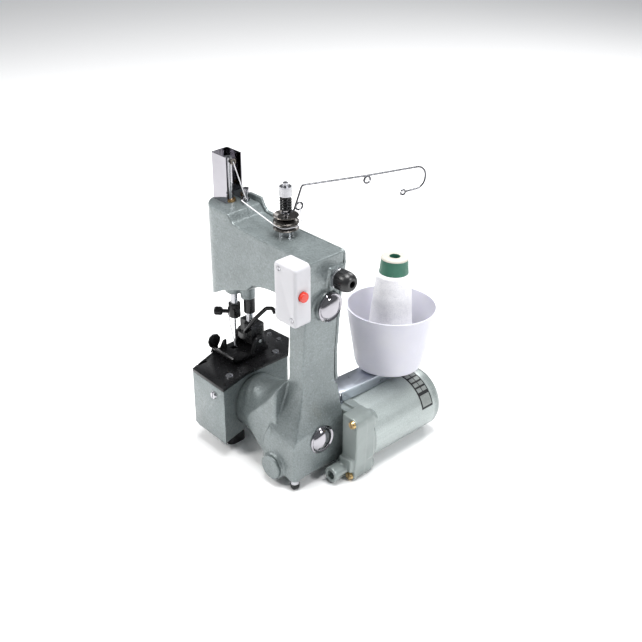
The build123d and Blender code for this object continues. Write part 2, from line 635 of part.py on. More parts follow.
keep("switch_cover", switch_cover())
keep("switch_body", switch_inside())
screws += [screw((x, 5.9, z), (0, 1, 0), 2.4, 1.3, 0.9, 15.5, 0.6) for x, z in SWITCH_SCREWS]
button = joined(rod_x(-4, 3.6, BUTTON_Y, BUTTON_Z, 4.7), rod_x(-5.6, -2.4, BUTTON_Y, BUTTON_Z, 5.9))
button = fillet(button.edges().sort_by(Axis.X)[-1], 1.2)
keep("switch_button", button)

# Cord inlet
hexagon = [(54 + 10.4 * math.sin(a), 211 + 10.4 * math.cos(a)) for a in [i * math.pi / 3 for i in range(6)]]
keep("gland_nut", seen_end(hexagon, 1.5, 5.0) - rod_x(0, 6, 54, 211, 5.2))
dome = revolved([(0, -8), (5.2, -8), (5.2, 3.5), (9.6, 3.5), (9.6, 9.5), (9.2, 13), (7.8, 16.5), (5.6, 18.5), (0, 18.5)],
                (1.5, 54, 211), (1, 0, 0), smooth=(4, 7))
grooves = []
for i in range(12):
    a = i * math.pi / 6
    grooves.append(rod_x(7.5, 24, 54 + 10.2 * math.sin(a), 211 + 10.2 * math.cos(a), 1.1))
keep("gland_body", without(dome, rod_x(-10, 25, 54, 211, 3.2), *grooves))

# Needle bar cover
sheet = block(-152, -131, 37.5, 57, HEAD_TOP, 290)
sheet = fillet(sheet.edges().filter_by(Axis.Z).sort_by(Axis.X)[:2], 2)
sheet = sheet - block(-151, -130, 38.5, 56, 240, 295)
feet = [block(-150, -134, 57, 62, HEAD_TOP, HEAD_TOP + 1)]
sheet = joined(sheet, *feet) - rod_z(-146, 59.8, 240, 250, 1.0)
keep("needle_bar_cover", sheet)
screws.append(screw((-146, 59.8, HEAD_TOP + 1), (0, 0, -1), 2.1, 0.95, 1.2, 4.6, 0.6))
keep("cover_screws", *screws)

# Thread path on top of the arm
collar_profile = [(2, 0), (6.5, 0), (6.5, 4), (5.2, 5.5), (2, 5.5)]
collar = revolved(collar_profile, (POST_X, POST_Y, 234.8), (0, 0, 1))
keep("tension_post", joined(rod_z(POST_X, POST_Y, 227, 285, 2.5), collar))


def saucer(z, up):
    """Pressed tension disc, dished so that two of them meet in the middle."""
    profile = [(2.7, 0), (5, 0), (8, 0.3), (10.6, 1.6), (11.8, 2.6), (11.4, 3.1), (10.1, 2.2), (7.8, 0.9), (5, 0.6), (2.7, 0.6)]
    return revolved(profile, (POST_X, POST_Y, z), (0, 0, up))


keep("tension_discs", saucer(244.3, -1), saucer(244.5, 1), saucer(251.0, -1), saucer(251.2, 1))
keep("tension_spring", coil(POST_X, POST_Y, 257.3, 272.2, 4.6, 1.0, 5))
nut = rod_z(POST_X, POST_Y, 272.5, 281.5, 5.7) - rod_z(POST_X, POST_Y, 270, 285, 2.5 + FIT)
for i in range(20):
    a = i * math.pi / 10
    nut = nut - rod_z(POST_X + 5.9 * math.cos(a), POST_Y + 5.9 * math.sin(a), 270, 285, 0.5)
keep("tension_nut", nut)


def ring(centre, normal, radius, wire):
    return Solid.make_torus(radius, wire, Plane(centre, z_dir=normal))


STAND_RUN = Vector(31, 118, 0).normalized()
ACROSS = (STAND_RUN.Y, -STAND_RUN.X, 0)
EYES = [(-25.6, 163.8, 252.2), (-35.6, 126.0, 272.2), (-53.4, 58.4, 260.6)]


def thread_stand():
    """Wire arm from the tension post, with a foot ring and three thread eyes."""
    path = [(-55.6, 49.2, 256.1), (-54.6, 53.4, 258), (-52.6, 61.3, 280), (-36, 124.6, 276.4), (-19.3, 188.2, 274.4),
            (-19.8, 186.6, 253.2), (-25, 166.4, 252.4)]
    stand = bent(path, WIRE_R, [1.5, 2.2, 60, 10.2, 10.2])
    eyes = [
        ring((POST_X, POST_Y, 256.1), (0, 0, 1), 3.5, WIRE_R),
        *[ring(eye, ACROSS, radius, WIRE_R) for eye, radius in zip(EYES, (2.4, 3.2, 3.4))],
    ]
    return joined(stand, *eyes)


keep("thread_stand_wire", thread_stand())
hook = [(-120.8, 50.6, 239.5), (-120.8, 50.6, 249.2), (-125.2, 51.4, 249.2), (-125.2, 51.4, 245.4)]
keep("arm_thread_guide", bent(hook, WIRE_R, 1.1))


# Motor drive
LUG_X, LUG_Z, LUG_R = 11.0, 9.5, 8.0
LUG_Y0, LUG_Y1 = 37.0, 62.0
ARM_Y0, SEAM_Y, ARM_Y1 = 55.0, 68.0, 79.0
ADAPTER_SCREWS = [(22.5, ARM_Y0, 64.5), (19.8, ARM_Y0, 4.6), (-36.0, FLANGE_Y0, 54.0)]
ARM_OUTLINE = [(8, 1), (9, 0), (22, 0), (25.2, 2.5), (27, 20), (28.2, 40), (28.4, 62), (26.5, 67.6), (22, 70), (8, 70)]


def motor_arm():
    """Part of the flange that reaches forward beside the column, with a seam around it."""
    front = seen_front(ARM_OUTLINE, ARM_Y0, SEAM_Y)
    seam = seen_front([(x * 0.96, 1 + z * 0.965) for x, z in ARM_OUTLINE], SEAM_Y - 1, SEAM_Y + 1.5)
    back = seen_front([(x * 0.985, z) for x, z in ARM_OUTLINE], SEAM_Y + 0.8, ARM_Y1)
    ears = [rod_y(x, SEAM_Y + 3, MOTOR_Y0 - 1, z, r) for x, z, r in ((19.5, 60.0, 8.0), (17.0, 8.0, 7.5))]
    ribs = [
        seen_top([(10, 84), (24, 84), (27.5, 78), (27.5, SEAM_Y + 3), (10, SEAM_Y + 3)], 20, 48),
        block(8, 24, ARM_Y0 - 4, ARM_Y0 + 2, 11, 24.5),
    ]
    return joined(front, seam, back, *ears, *ribs)


def adapter():
    """Cast flange and gear chamber between the column and the motor."""
    flange = block(MOTOR_X - 30, MOTOR_X + 30, FLANGE_Y0, FLANGE_Y1, 0, 64)
    flange = fillet(flange.edges().filter_by(Axis.Y), 10)
    ear = rod_y(-36, FLANGE_Y0, FLANGE_Y1 + 3, 54, 7)
    neck = block(MOTOR_X - 33, MOTOR_X + 33, FLANGE_Y1, MOTOR_Y0, 0, 66) & rod_y(MOTOR_X, FLANGE_Y1, MOTOR_Y0, MOTOR_Z, 39, 33)
    bulge = rod_y(WORM_X, FLANGE_Y0, 84, WORM_Z, 17.2)
    lug = rod_y(LUG_X, LUG_Y0, LUG_Y1, LUG_Z, LUG_R)
    shell = joined(flange, ear, neck & block(-100, 100, 70, 90, 0, 100), bulge, motor_arm(), lug)
    shell = without(
        shell,
        rod_y(MOTOR_X, 70, 90, MOTOR_Z, PINION_R + 0.6) - rod_y(MOTOR_X, 83, 90, MOTOR_Z, 50),
        rod_y(MOTOR_X, 80, 90, MOTOR_Z, SHAFT_R + 3),
        rod_y(WORM_X, 69.5, 81.5, WORM_Z, GEAR_R + 0.5),
        rod_y(WORM_X, 60, 70, WORM_Z, 8),
        rod_y(LUG_X, LUG_Y0 - 5, LUG_Y0 + 8, LUG_Z, 4.5),
        *[rod_y(x, y - 5, y + 14, z, 2.5) for x, y, z in ADAPTER_SCREWS],
        *[rod_y(x, y - 12, y, z, 4.5) for x, y, z in ADAPTER_SCREWS],
    )
    return shell


keep("gear_adapter", adapter())
keep("adapter_screws", *[screw((x, y, z), (0, 1, 0), 4.2, 2.5, 2.6, 11) for x, y, z in ADAPTER_SCREWS])
shell = revolved([(0, 0), (MOTOR_R, 0), (MOTOR_R, 83), (MOTOR_R - 2.5, 83), (MOTOR_R - 2.5, 4), (0, 4)],
                 (MOTOR_X, MOTOR_Y0, MOTOR_Z), (0, 1, 0))
keep("motor_housing", shell - rod_y(MOTOR_X, 80, 95, MOTOR_Z, 4 + FIT))
tail = revolved([(0, 0), (MOTOR_R, 0), (MOTOR_R, 5), (MOTOR_R - 1.5, 8.5), (MOTOR_R - 6, 12), (0, 12)],
                (MOTOR_X, MOTOR_Y1 + 0.02, MOTOR_Z), (0, 1, 0))
tail = tail - rod_y(MOTOR_X, 160, MOTOR_Y1 + 8, MOTOR_Z, 12)
keep("motor_tail", tail)
keep("motor_stator", ring_y(MOTOR_X, 105, 150, MOTOR_Z, MOTOR_R - 2.5, 19.5))
keep("motor_rotor", joined(
    rod_y(MOTOR_X, 71, MOTOR_Y1 + 7, MOTOR_Z, 4),
    rod_y(MOTOR_X, 71, 80, MOTOR_Z, PINION_R),
    rod_y(MOTOR_X, 103, 152, MOTOR_Z, 18.5),
    rod_y(MOTOR_X, 156, 165, MOTOR_Z, 9),
))
plate = ring_y(MOTOR_X, 150, 165, MOTOR_Z, MOTOR_R + 0.4, MOTOR_R)
wedge = [(MOTOR_X, MOTOR_Z)]
for degrees in (12, 35, 60, 80, 100):
    a = math.radians(degrees)
    wedge.append((MOTOR_X + 50 * math.cos(a), MOTOR_Z + 50 * math.sin(a)))
keep("nameplate", plate & seen_front(wedge, 140, 170))


# Thread stand
def leaning(shape):
    return shape.rotate(Axis((0, 110, STAND_Z), (1, 0, 0)), -LEAN)


top = block(-34, -10, 69.6, 172, STAND_Z - SHEET, STAND_Z)
edge = [(72, STAND_Z - 0.5), (170, STAND_Z - 0.5), (170, STAND_Z - 9), (110, STAND_Z - 11.4), (72, STAND_Z - 11)]
sides = [seen_end(edge, x, x + SHEET) for x in (-34, -10 - SHEET)]
bridge = leaning(joined(top, *sides))
low = 64.0
foot = joined(block(-34, -10, 68.1, 69.7, low, STAND_Z + 1.6), block(-34, -10, 68.1, 74, low, low + SHEET))
bracket = joined(bridge, foot)
keep("cup_bracket", bracket - leaning(rod_z(STAND_X, STAND_Y, 60, 90, 4)))
cup_profile = [(4, 0), (CUP_FOOT_R - 6, 0), (CUP_FOOT_R - 1.5, 2.2), (CUP_FOOT_R, 6.5), (CUP_RIM_R, CUP_H),
               (CUP_RIM_R - 1.6, CUP_H), (CUP_FOOT_R - 1.6, 7), (CUP_FOOT_R - 3, 3.6), (CUP_FOOT_R - 7, 1.8), (4, 1.8)]
keep("thread_cup", leaning(revolved(cup_profile, (STAND_X, STAND_Y, STAND_Z), (0, 0, 1))))
spindle_profile = [(0, -6), (4, -6), (4, 1.8), (18, 1.8), (18, 4.4), (5, 4.4), (5, 104), (3.5, 106), (0, 106)]
spindle = revolved(spindle_profile, (STAND_X, STAND_Y, STAND_Z), (0, 0, 1))
keep("cone_spindle", leaning(spindle), leaning(ring_z(STAND_X, STAND_Y, STAND_Z - 5.5, STAND_Z - SHEET, 7.5, 4)))
core_profile = [(5 + FIT, 4.8), (21, 4.8), (14.3, 100.7), (13.2, 115.6), (12.4, 116.5), (5 + FIT, 116.5)]
core = revolved(core_profile, (STAND_X, STAND_Y, STAND_Z), (0, 0, 1))
keep("cone_core", leaning(core))
wound_profile = [(20.5, 7), (24.4, 8), (23.9, 14), (18.9, 72), (16.7, 98), (15.4, 100.5), (13.8, 100.5)]
wound = revolved(wound_profile, (STAND_X, STAND_Y, STAND_Z), (0, 0, 1))
keep("thread_package", leaning(without(wound, core)))


# Thread from the cone to the needle, entering each eye from one side and leaving on the other


def beside(eye, side):
    """Point in line with an eye's hole, clear of its wire."""
    return (eye[0] + side * 2.2 * ACROSS[0], eye[1] + side * 2.2 * ACROSS[1], eye[2])


def thread_path():
    route = [(-31.9, 141.1, 190)]
    for eye, side in zip(EYES, (-1, 1, -1)):
        route += [beside(eye, side), beside(eye, -side)]
    turns = [1.0] * (len(route) - 1)
    for x, y, z, turn in ((9.9, 9.9, 246.5, 2), (10.3, 3.5, 244.4, 5), (6.5, -9, 244.4, 6), (-6.5, -8.5, 244.4, 8)):
        route.append((POST_X + x, POST_Y + y, z))
        turns.append(turn)
    route += [(-123.0, 48.6, 246.9), (-123.0, 54.0, 247.0)]
    return bent(route, THREAD_R, turns + [1.0])


keep("thread_run", thread_path())
needle_route = [(-139.6, 41, 119.8), (-140.0, 41.8, 110), (-138.2, 43.8, 97), (-137.4, 44.8, 85.3)]
keep("thread_needle", bent(needle_route, THREAD_R, 3))


for node, solids in made.items():
    shape = Compound(solids).translate(Vector(-MIDDLE_X, -MIDDLE_Y, 0))
    export_step(shape, f"parts/{node}.step")
    print(node, len(solids), "solids", round(shape.volume, 1), "mm3")
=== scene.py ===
import json
import math

import bmesh
import bpy
from mathutils import Matrix, Vector


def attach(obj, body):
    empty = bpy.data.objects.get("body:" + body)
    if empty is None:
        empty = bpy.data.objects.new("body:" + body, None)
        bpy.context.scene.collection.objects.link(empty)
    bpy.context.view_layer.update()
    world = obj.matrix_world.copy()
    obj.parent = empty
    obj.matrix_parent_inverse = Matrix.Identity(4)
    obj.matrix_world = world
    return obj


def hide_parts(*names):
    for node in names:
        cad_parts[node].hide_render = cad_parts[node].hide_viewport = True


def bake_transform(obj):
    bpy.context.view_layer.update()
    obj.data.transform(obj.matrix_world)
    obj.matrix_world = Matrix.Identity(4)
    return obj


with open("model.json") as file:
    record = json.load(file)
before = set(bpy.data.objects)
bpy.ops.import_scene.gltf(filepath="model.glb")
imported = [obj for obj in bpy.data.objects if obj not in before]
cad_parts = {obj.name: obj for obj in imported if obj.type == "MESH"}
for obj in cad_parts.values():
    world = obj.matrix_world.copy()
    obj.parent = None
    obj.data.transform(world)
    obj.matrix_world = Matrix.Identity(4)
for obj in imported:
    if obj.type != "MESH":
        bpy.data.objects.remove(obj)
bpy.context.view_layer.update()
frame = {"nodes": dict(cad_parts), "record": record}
NODES = frame["nodes"]

# The machine drawing's millimetres are shifted so that the footprint's middle is the origin
DRAWING_SHIFT = Vector((63.3, -91.45, 0.0))


def mm(x, y, z):
    """A point of the machine drawing, in metres in the shared frame."""
    return (Vector((x, y, z)) + DRAWING_SHIFT) / 1000


# ---------------------------------------------------------------- camera and light
CAMERA_PLACE = Vector((0.7022, -0.65195, 0.6641))
CAMERA_AIM = Vector((-0.6378, 0.5947, -0.4894))
LENS_MM, SENSOR_MM = 63.36, 36.0
camera_data = bpy.data.cameras.new("camera")
camera_data.lens = LENS_MM
camera_data.sensor_width = SENSOR_MM
camera_data.clip_start = 0.01
camera = bpy.data.objects.new("camera", camera_data)
bpy.context.scene.collection.objects.link(camera)
camera.location = CAMERA_PLACE
camera.rotation_euler = CAMERA_AIM.to_track_quat("-Z", "Y").to_euler()
bpy.context.scene.camera = camera


def area_light(name, place, target, size, power, colour=(1, 1, 1)):
    data = bpy.data.lights.new(name, "AREA")
    data.shape = "DISK"
    data.size = size
    data.energy = power
    data.color = colour
    light = bpy.data.objects.new(name, data)
    bpy.context.scene.collection.objects.link(light)
    light.location = place
    light.rotation_euler = (Vector(target) - Vector(place)).to_track_quat("-Z", "Y").to_euler()
    return light


area_light("key", (-0.5, -1.05, 1.2), (0.0, 0.0, 0.12), 0.4, 12, (1.0, 0.99, 0.975))
area_light("right", (1.15, 0.35, 0.95), (0.0, 0.0, 0.10), 0.3, 9, (0.98, 0.99, 1.0))
area_light("left", (-1.1, -0.35, 0.7), (0.0, 0.0, 0.15), 0.5, 5)
area_light("back", (-0.3, 1.2, 1.0), (0.0, 0.0, 0.15), 0.6, 9)
area_light("top", (0.1, 0.1, 1.7), (0.0, 0.0, 0.0), 0.8, 32)
world = bpy.data.worlds.new("studio")
world.use_nodes = True
background = world.node_tree.nodes["Background"]
background.inputs["Color"].default_value = (0.93, 0.96, 1.0, 1)
background.inputs["Strength"].default_value = 0.26
bpy.context.scene.world = world
bpy.context.scene.view_settings.view_transform = "Standard"


# ---------------------------------------------------------------- materials
class Finish:
    """A procedural material built up step by step in the object's own coordinates."""

    def __init__(self, name):
        self.material = bpy.data.materials.new(name)
        self.material.use_nodes = True
        self.tree = self.material.node_tree
        self.shader = self.tree.nodes["Principled BSDF"]
        self.place = self.node("ShaderNodeTexCoord").outputs["Object"]
        self.bump_out = None

    def node(self, kind, **values):
        made = self.tree.nodes.new(kind)
        for key, value in values.items():
            setattr(made, key, value)
        return made

    def link(self, source, target):
        self.tree.links.new(source, target)

    def set(self, **values):
        for key, value in values.items():
            self.shader.inputs[key.replace("_", " ")].default_value = value

    def noise(self, scale, detail=4.0, rough=0.55, stretch=(1, 1, 1)):
        mapping = self.node("ShaderNodeMapping")
        mapping.inputs["Scale"].default_value = stretch
        self.link(self.place, mapping.inputs["Vector"])
        noise = self.node("ShaderNodeTexNoise")
        noise.inputs["Scale"].default_value = scale
        noise.inputs["Detail"].default_value = detail
        noise.inputs["Roughness"].default_value = rough
        self.link(mapping.outputs["Vector"], noise.inputs["Vector"])
        return noise.outputs["Fac"]

    def cells(self, scale, smooth=1.0):
        cells = self.node("ShaderNodeTexVoronoi", feature="SMOOTH_F1")
        cells.inputs["Scale"].default_value = scale
        cells.inputs["Smoothness"].default_value = smooth
        self.link(self.place, cells.inputs["Vector"])
        return cells.outputs["Distance"]

    def spread(self, value, low, high, to_low=0.0, to_high=1.0):
        """Maps low..high onto to_low..to_high."""
        ranged = self.node("ShaderNodeMapRange")
        ranged.inputs["From Min"].default_value = low
        ranged.inputs["From Max"].default_value = high
        ranged.inputs["To Min"].default_value = to_low
        ranged.inputs["To Max"].default_value = to_high
        self.link(value, ranged.inputs["Value"])
        return ranged.outputs["Result"]

    def mix(self, factor, first, second):
        mixed = self.node("ShaderNodeMix", data_type="RGBA")
        sockets = (mixed.inputs[0], mixed.inputs[6], mixed.inputs[7])
        for value, socket in zip((factor, first, second), sockets):
            if isinstance(value, (tuple, float)):
                socket.default_value = value
            else:
                self.link(value, socket)
        return mixed.outputs[2]

    def edges(self, low=0.52, high=0.60):
        """Share from pointiness plus fine grain: from 0 on flat faces to 1 on outer edges, used for edge wear;
        with low above high it is 1 in hollows instead, used for painted shade.
        """
        geometry = self.node("ShaderNodeNewGeometry")
        grain = self.spread(self.noise(900, 3), 0.3, 0.7, -0.03, 0.03)
        total = self.node("ShaderNodeMath", operation="ADD")
        self.link(geometry.outputs["Pointiness"], total.inputs[0])
        self.link(grain, total.inputs[1])
        return self.spread(total.outputs[0], low, high)

    def bump(self, height, strength, distance):
        bump = self.node("ShaderNodeBump")
        bump.inputs["Strength"].default_value = strength
        bump.inputs["Distance"].default_value = distance
        self.link(height, bump.inputs["Height"])
        if self.bump_out is not None:
            self.link(self.bump_out, bump.inputs["Normal"])
        self.bump_out = bump.outputs["Normal"]

    def done(self, colour, roughness):
        self.link(colour, self.shader.inputs["Base Color"])
        self.link(roughness, self.shader.inputs["Roughness"])
        if self.bump_out is not None:
            self.link(self.bump_out, self.shader.inputs["Normal"])
        return self.material


def shade(colour, factor):
    return tuple(min(1.0, c * factor) for c in colour) + (1.0,)


def plain(name, colour, rough, metal, tone=0.10, tone_scale=60, grain=(2600, 0.12, 0.00005),
          stretch=(1, 1, 1), wear=None, spots=0.0, **sockets):
    """Colour clouding, roughness clouding, fine grain and edge wear."""
    finish = Finish(name)
    finish.set(Metallic=metal, **sockets)
    cloud = finish.spread(finish.noise(tone_scale, 5), 0.32, 0.68)
    tint = finish.mix(cloud, shade(colour, 1 - tone), shade(colour, 1 + tone))
    if spots:
        specks = finish.spread(finish.noise(1500, 2), 0.62, 0.70, 0.0, spots)
        tint = finish.mix(specks, tint, shade(colour, 0.35))
    if wear:
        worn, low, high = wear
        tint = finish.mix(finish.edges(low, high), tint, worn + (1.0,))
    roughness = finish.spread(finish.noise(tone_scale * 3, 3), 0.3, 0.7, rough * 0.8, min(1, rough * 1.2))
    scale, strength, distance = grain
    finish.bump(finish.noise(scale, 3, stretch=stretch), strength, distance)
    return finish.done(tint, roughness)


def hammertone(name, colour, cell=560, strength=0.55):
    """Hammered enamel: shallow pools of metallic paint with darker rims, chipped a little at the edges."""
    finish = Finish(name)
    finish.set(Metallic=0.45, Coat_Weight=0.3, Coat_Roughness=0.2)
    cells = finish.cells(cell, 0.6)
    rims = finish.spread(cells, 0.25, 0.75)
    cloud = finish.spread(finish.noise(24, 5), 0.3, 0.7)
    tint = finish.mix(cloud, shade(colour, 0.86), shade(colour, 1.14))
    tint = finish.mix(finish.spread(cells, 0.30, 0.80, 0.0, 0.6), tint, shade(colour, 0.68))
    tint = finish.mix(finish.spread(finish.noise(520, 3), 0.56, 0.72, 0.0, 0.45), tint, shade(colour, 1.5))
    tint = finish.mix(finish.edges(0.56, 0.70), tint, shade(colour, 1.5))
    roughness = finish.spread(finish.noise(90, 4), 0.3, 0.7, 0.30, 0.46)
    finish.bump(finish.noise(150, 3), 0.16, 0.0005)
    finish.bump(rims, strength, 0.00022)
    return finish.done(tint, roughness)


GREEN = (0.192, 0.221, 0.223)
MATERIALS = {
    "hammered_green_paint": hammertone("hammered_green_paint", GREEN),
    "motor_green_paint": plain("motor_green_paint", (0.238, 0.270, 0.262), 0.36, 0.30, 0.07, 40,
                               (700, 0.11, 0.0002), wear=((0.50, 0.55, 0.54), 0.57, 0.72),
                               Coat_Weight=0.2, Coat_Roughness=0.25),
    "black_oxide_steel": plain("black_oxide_steel", (0.011, 0.011, 0.012), 0.30, 0.5, 0.3, 90,
                               wear=((0.10, 0.10, 0.10), 0.62, 0.80)),
    "bright_steel": plain("bright_steel", (0.44, 0.44, 0.46), 0.22, 1.0, 0.1, 120, (1800, 0.12, 0.00004)),
    "dark_steel": plain("dark_steel", (0.075, 0.070, 0.066), 0.32, 0.9, 0.25, 150,
                        wear=((0.36, 0.32, 0.27), 0.58, 0.74)),
    "drawn_wire": plain("drawn_wire", (0.13, 0.13, 0.14), 0.25, 1.0, 0.15, 300),
    "chrome_plate": plain("chrome_plate", (0.36, 0.35, 0.375), 0.08, 1.0, 0.05, 50, (600, 0.06, 0.0001)),
    "bronze": plain("bronze", (0.45, 0.29, 0.14), 0.4, 1.0, 0.15, 200),
    "brass": plain("brass", (0.52, 0.37, 0.17), 0.30, 1.0, 0.2, 200, wear=((0.70, 0.60, 0.40), 0.56, 0.7)),
    "black_rubber": plain("black_rubber", (0.012, 0.012, 0.013), 0.72, 0.0, 0.2, 70,
                          (1500, 0.3, 0.0001), spots=0.4),
    "white_plastic": plain("white_plastic", (0.54, 0.535, 0.56), 0.36, 0.0, 0.02, 40, (2400, 0.15, 0.00006),
                           Coat_Weight=0.1, Subsurface_Weight=0.1, Subsurface_Radius=(0.002, 0.002, 0.002)),
    "red_plastic": plain("red_plastic", (0.62, 0.030, 0.012), 0.24, 0.0, 0.08, 200,
                         (2000, 0.05, 0.00003), Coat_Weight=0.3),
    "black_plastic": plain("black_plastic", (0.011, 0.011, 0.012), 0.34, 0.0, 0.2, 90,
                           (1800, 0.25, 0.0001)),
    "zinc_sheet": plain("zinc_sheet", (0.46, 0.49, 0.54), 0.34, 1.0, 0.05, 90, (1500, 0.15, 0.00006),
                        stretch=(1, 0.12, 1)),
    "green_core": plain("green_core", (0.028, 0.135, 0.088), 0.45, 0.0, 0.12, 120, (900, 0.2, 0.0001)),
    "laminated_steel": plain("laminated_steel", (0.16, 0.14, 0.13), 0.5, 0.8, 0.2, 200,
                             (60, 0.6, 0.0004), stretch=(0.1, 40, 0.1)),
    "plate_foil": plain("plate_foil", (0.012, 0.012, 0.014), 0.42, 0.3, 0.2, 150),
    "foil_grey": plain("foil_grey", (0.24, 0.26, 0.25), 0.45, 0.3, 0.12, 400),
    "cream_top": plain("cream_top", (0.50, 0.475, 0.42), 0.6, 0.0, 0.06, 200, (900, 0.3, 0.0001)),
}


def cup_plastic():
    """Frosted translucent moulding."""
    finish = Finish("cup_plastic")
    finish.set(Subsurface_Weight=0.55, Subsurface_Radius=(0.006, 0.006, 0.007))
    finish.set(Transmission_Weight=0.22, IOR=1.45)
    cloud = finish.spread(finish.noise(30, 4), 0.3, 0.7)
    tint = finish.mix(cloud, (0.69, 0.685, 0.76, 1), (0.75, 0.745, 0.80, 1))
    finish.bump(finish.noise(700, 3), 0.18, 0.0001)
    return finish.done(tint, finish.spread(finish.noise(80, 3), 0.3, 0.7, 0.34, 0.48))


def wound_thread():
    """Spun polyester: soft sheen, tiny fibres and a faint shadow between the turns."""
    finish = Finish("white_thread")
    finish.set(Sheen_Weight=0.4, Sheen_Roughness=0.5)
    finish.set(Subsurface_Weight=0.15, Subsurface_Radius=(0.002, 0.002, 0.002))
    fuzz = finish.noise(3800, 4, 0.7)
    cloud = finish.spread(finish.noise(300, 5), 0.3, 0.7)
    tint = finish.mix(cloud, (0.80, 0.79, 0.82, 1), (0.88, 0.87, 0.89, 1))
    # painted shade: hollows between the turns (pointiness below flat) darkened towards grey
    tint = finish.mix(finish.edges(0.50, 0.44), tint, (0.55, 0.55, 0.60, 1))
    finish.bump(fuzz, 0.4, 0.0002)
    return finish.done(tint, finish.spread(fuzz, 0.3, 0.7, 0.7, 0.9))


MATERIALS["cup_plastic"] = cup_plastic()
MATERIALS["white_thread"] = wound_thread()


def paint(obj, slot_name):
    obj.data.materials.clear()
    obj.data.materials.append(MATERIALS[slot_name])


SLOT_OF = {entry["node"]: entry["material_slot"] for entry in frame["record"]["subparts"]}
BODY_OF = {node: body for body, nodes in frame["record"]["behaviour"]["bodies"].items() for node in nodes}


# ---------------------------------------------------------------- mesh tools
SHARP_ANGLE = 32
SAME_PLACE = 0.00001
SKIN_GRAIN = 0.006


def new_object(name, mesh):
    obj = bpy.data.objects.new(name, mesh)
    bpy.context.scene.collection.objects.link(obj)
    return obj


def applied(obj):
    """Turns an object's modifiers into its final mesh."""
    bpy.context.view_layer.update()
    graph = bpy.context.evaluated_depsgraph_get()
    mesh = bpy.data.meshes.new_from_object(obj.evaluated_get(graph))
    old = obj.data
    obj.modifiers.clear()
    obj.data = mesh
    bpy.data.meshes.remove(old)
    return obj


def smooth_by_angle(mesh, degrees):
    limit = math.radians(degrees)
    work = bmesh.new()
    work.from_mesh(mesh)
    for face in work.faces:
        face.smooth = True
    for edge in work.edges:
        edge.smooth = edge.is_manifold and edge.calc_face_angle(0.0) < limit
    work.to_mesh(mesh)
    work.free()


def copy_of(node, name):
    obj = new_object(name, NODES[node].data.copy())
    work = bmesh.new()
    work.from_mesh(obj.data)
    bmesh.ops.remove_doubles(work, verts=work.verts, dist=SAME_PLACE)
    work.to_mesh(obj.data)
    work.free()
    return obj


def stand_for(obj, node):
    """The finished piece takes a CAD node's place, body and slot."""
    paint(obj, SLOT_OF[node])
    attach(obj, BODY_OF[node])
    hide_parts(node)
    return obj


def cast(node, voxel, rounds, detail=0.0, ratio=1.0):
    """Cast surface: every edge rounded as by a sand mould, with a slightly uneven skin."""
    obj = copy_of(node, node + "_skin")
    remesh = obj.modifiers.new("remesh", "REMESH")
    remesh.mode = "VOXEL"
    remesh.voxel_size = voxel
    smoothing = obj.modifiers.new("soften", "SMOOTH")
    smoothing.factor = 0.5
    smoothing.iterations = rounds
    if detail:
        texture = bpy.data.textures.new(node + "_skin", "CLOUDS")
        texture.noise_scale = SKIN_GRAIN
        texture.noise_depth = 2
        uneven = obj.modifiers.new("uneven", "DISPLACE")
        uneven.texture = texture
        uneven.texture_coords = "GLOBAL"
        uneven.strength = detail
        uneven.mid_level = 0.5
    if ratio < 1.0:
        thin = obj.modifiers.new("thin", "DECIMATE")
        thin.ratio = ratio
    applied(obj)
    for polygon in obj.data.polygons:
        polygon.use_smooth = True
    return stand_for(obj, node)


def bevelled(node, width, segments):
    """Machined or moulded piece with its sharp edges broken."""
    obj = copy_of(node, node + "_edged")
    work = bmesh.new()
    work.from_mesh(obj.data)
    bmesh.ops.dissolve_limit(work, angle_limit=math.radians(0.8), verts=work.verts, edges=work.edges)
    work.to_mesh(obj.data)
    work.free()
    bevel = obj.modifiers.new("edges", "BEVEL")
    bevel.width = width
    bevel.segments = segments
    bevel.limit_method = "ANGLE"
    bevel.angle_limit = math.radians(SHARP_ANGLE)
    bevel.use_clamp_overlap = True
    bevel.harden_normals = False
    applied(obj)
    smooth_by_angle(obj.data, 30)
    return stand_for(obj, node)


# ---------------------------------------------------------------- floor
floor_mesh = bpy.data.meshes.new("floor")
work = bmesh.new()
bmesh.ops.create_grid(work, x_segments=40, y_segments=40, size=6.0)
work.to_mesh(floor_mesh)
work.free()
floor = new_object("floor", floor_mesh)
floor_finish = Finish("floor_paper")
floor_tint = floor_finish.mix(floor_finish.noise(3, 3), (0.93, 0.93, 0.93, 1), (0.95, 0.95, 0.95, 1))
floor_roughness = floor_finish.spread(floor_finish.noise(5, 2), 0, 1, 0.75, 0.85)
floor.data.materials.append(floor_finish.done(floor_tint, floor_roughness))


# ---------------------------------------------------------------- finishes of the CAD nodes
for node, obj in NODES.items():
    paint(obj, SLOT_OF[node])


for node in ("thread_stand_wire", "arm_thread_guide"):
    paint(NODES[node], "drawn_wire")
for node in ("tension_spring", "gland_nut"):
    paint(NODES[node], "black_oxide_steel")


# ---------------------------------------------------------------- castings and machined pieces
cast("body_casting", 0.0009, 10, 0.0003, 0.6)
cast("bed_casting", 0.0008, 4, 0.0002, 0.6)
cast("gear_adapter", 0.0008, 7, 0.00025, 0.6)
cast("rear_cover", 0.0008, 2, 0.0001, 0.6)
EDGES = (
    ("switch_cover", 0.0014, 4), ("throat_plate", 0.0004, 2), ("bed_front_cover", 0.0006, 3),
    ("gear_housing_cap", 0.0008, 3), ("cup_bracket", 0.0003, 2), ("presser_foot", 0.0004, 2),
    ("presser_holder", 0.0003, 2), ("bag_guide", 0.0003, 2), ("needle_clamp", 0.0003, 2),
    ("gland_nut", 0.0004, 2),
)
for node, width, segments in EDGES:
    bevelled(node, width, segments)


def new_piece(obj, slot_name, body, look=None):
    """A piece the CAD doesn't have, riding on one body."""
    paint(obj, look or slot_name)
    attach(obj, body)
    return obj


